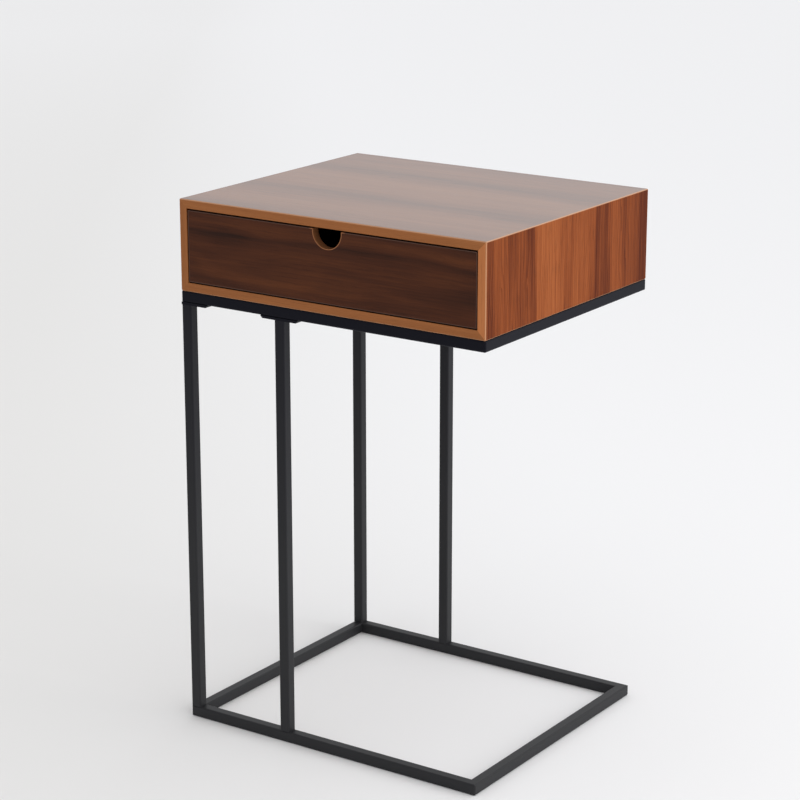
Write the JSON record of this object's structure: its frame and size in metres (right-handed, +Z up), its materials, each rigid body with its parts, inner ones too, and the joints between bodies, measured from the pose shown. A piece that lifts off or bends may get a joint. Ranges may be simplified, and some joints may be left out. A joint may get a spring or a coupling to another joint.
{
  "type": "side table",
  "caption": "C-shaped side table: a mitred walnut box with a notched pull-out drawer, on an open-sided frame of black square steel tube.",
  "frame": {"origin": "on the floor, under the centre of the table's bounding box", "axes": "+Z up; -Y towards the drawer front, the side the drawer opens to; +X towards the open side of the frame, away from the legs"},
  "size_m": [0.4, 0.34, 0.614],
  "materials": {
    "walnut_veneer": "semi-gloss lacquered walnut veneer",
    "dark_walnut_veneer": "satin lacquered dark walnut veneer",
    "edge_band": "satin light walnut edge band",
    "black_steel": "semi-matte black powder coat",
    "black_screw": "black oxide",
    "brown_hardboard": "matte brown hardboard",
    "drawer_board": "satin brown melamine on board",
    "beech_dowel": "raw fluted beech",
    "bearing_steel": "polished steel balls",
    "zinc_plate": "bright zinc plate",
    "zinc_screw": "bright zinc plate"
  },
  "bodies": {
    "table": {"back_panel": "brown_hardboard", "base_front_rail": "black_steel", "base_left_rail": "black_steel", "base_rear_rail": "black_steel", "base_right_rail": "black_steel", "bottom_panel": "walnut_veneer", "box_fixing_screws": "zinc_screw", "front_edge_band_bottom": "edge_band", "front_edge_band_left": "edge_band", "front_edge_band_right": "edge_band", "front_edge_band_top": "edge_band", "left_runner_cabinet_rail": "zinc_plate", "left_runner_cabinet_screws": "zinc_screw", "left_side_panel": "walnut_veneer", "leg_front_inner": "black_steel", "leg_front_left": "black_steel", "leg_plate_front_inner": "black_steel", "leg_plate_front_left": "black_steel", "leg_plate_rear_inner": "black_steel", "leg_plate_rear_left": "black_steel", "leg_plate_screws": "black_screw", "leg_rear_inner": "black_steel", "leg_rear_left": "black_steel", "rear_edge_band_bottom": "edge_band", "rear_edge_band_left": "edge_band", "rear_edge_band_right": "edge_band", "rear_edge_band_top": "edge_band", "right_runner_cabinet_rail": "zinc_plate", "right_runner_cabinet_screws": "zinc_screw", "right_side_panel": "walnut_veneer", "top_frame_front_rail": "black_steel", "top_frame_left_rail": "black_steel", "top_frame_rear_rail": "black_steel", "top_frame_right_rail": "black_steel", "top_panel": "walnut_veneer"},
    "drawer": {"drawer_back": "drawer_board", "drawer_back_screws": "zinc_screw", "drawer_bottom": "brown_hardboard", "drawer_cam_bolts": "zinc_screw", "drawer_cams": "zinc_screw", "drawer_dowels": "beech_dowel", "drawer_front": "dark_walnut_veneer", "drawer_front_edge_band": "edge_band", "drawer_side_left": "drawer_board", "drawer_side_right": "drawer_board", "left_runner_drawer_rail": "zinc_plate", "left_runner_drawer_screws": "zinc_screw", "right_runner_drawer_rail": "zinc_plate", "right_runner_drawer_screws": "zinc_screw"},
    "left_ball_cage": {"left_runner_ball_cage": "zinc_plate", "left_runner_balls": "bearing_steel"},
    "right_ball_cage": {"right_runner_ball_cage": "zinc_plate", "right_runner_balls": "bearing_steel"}
  },
  "joints": [
    {"name": "drawer_slide", "type": "slide", "parent": "table", "child": "drawer", "axis": [0, -1, 0], "range_m": [0, 0.22]},
    {"name": "left_cage_slide", "type": "slide", "parent": "table", "child": "left_ball_cage", "axis": [0, -1, 0], "range_m": [0, 0.11]},
    {"name": "right_cage_slide", "type": "slide", "parent": "table", "child": "right_ball_cage", "axis": [0, -1, 0], "range_m": [0, 0.11]}
  ],
  "couplings": [
    {"joint": "left_cage_slide", "follows": "drawer_slide", "ratio": 0.5},
    {"joint": "right_cage_slide", "follows": "drawer_slide", "ratio": 0.5}
  ]
}
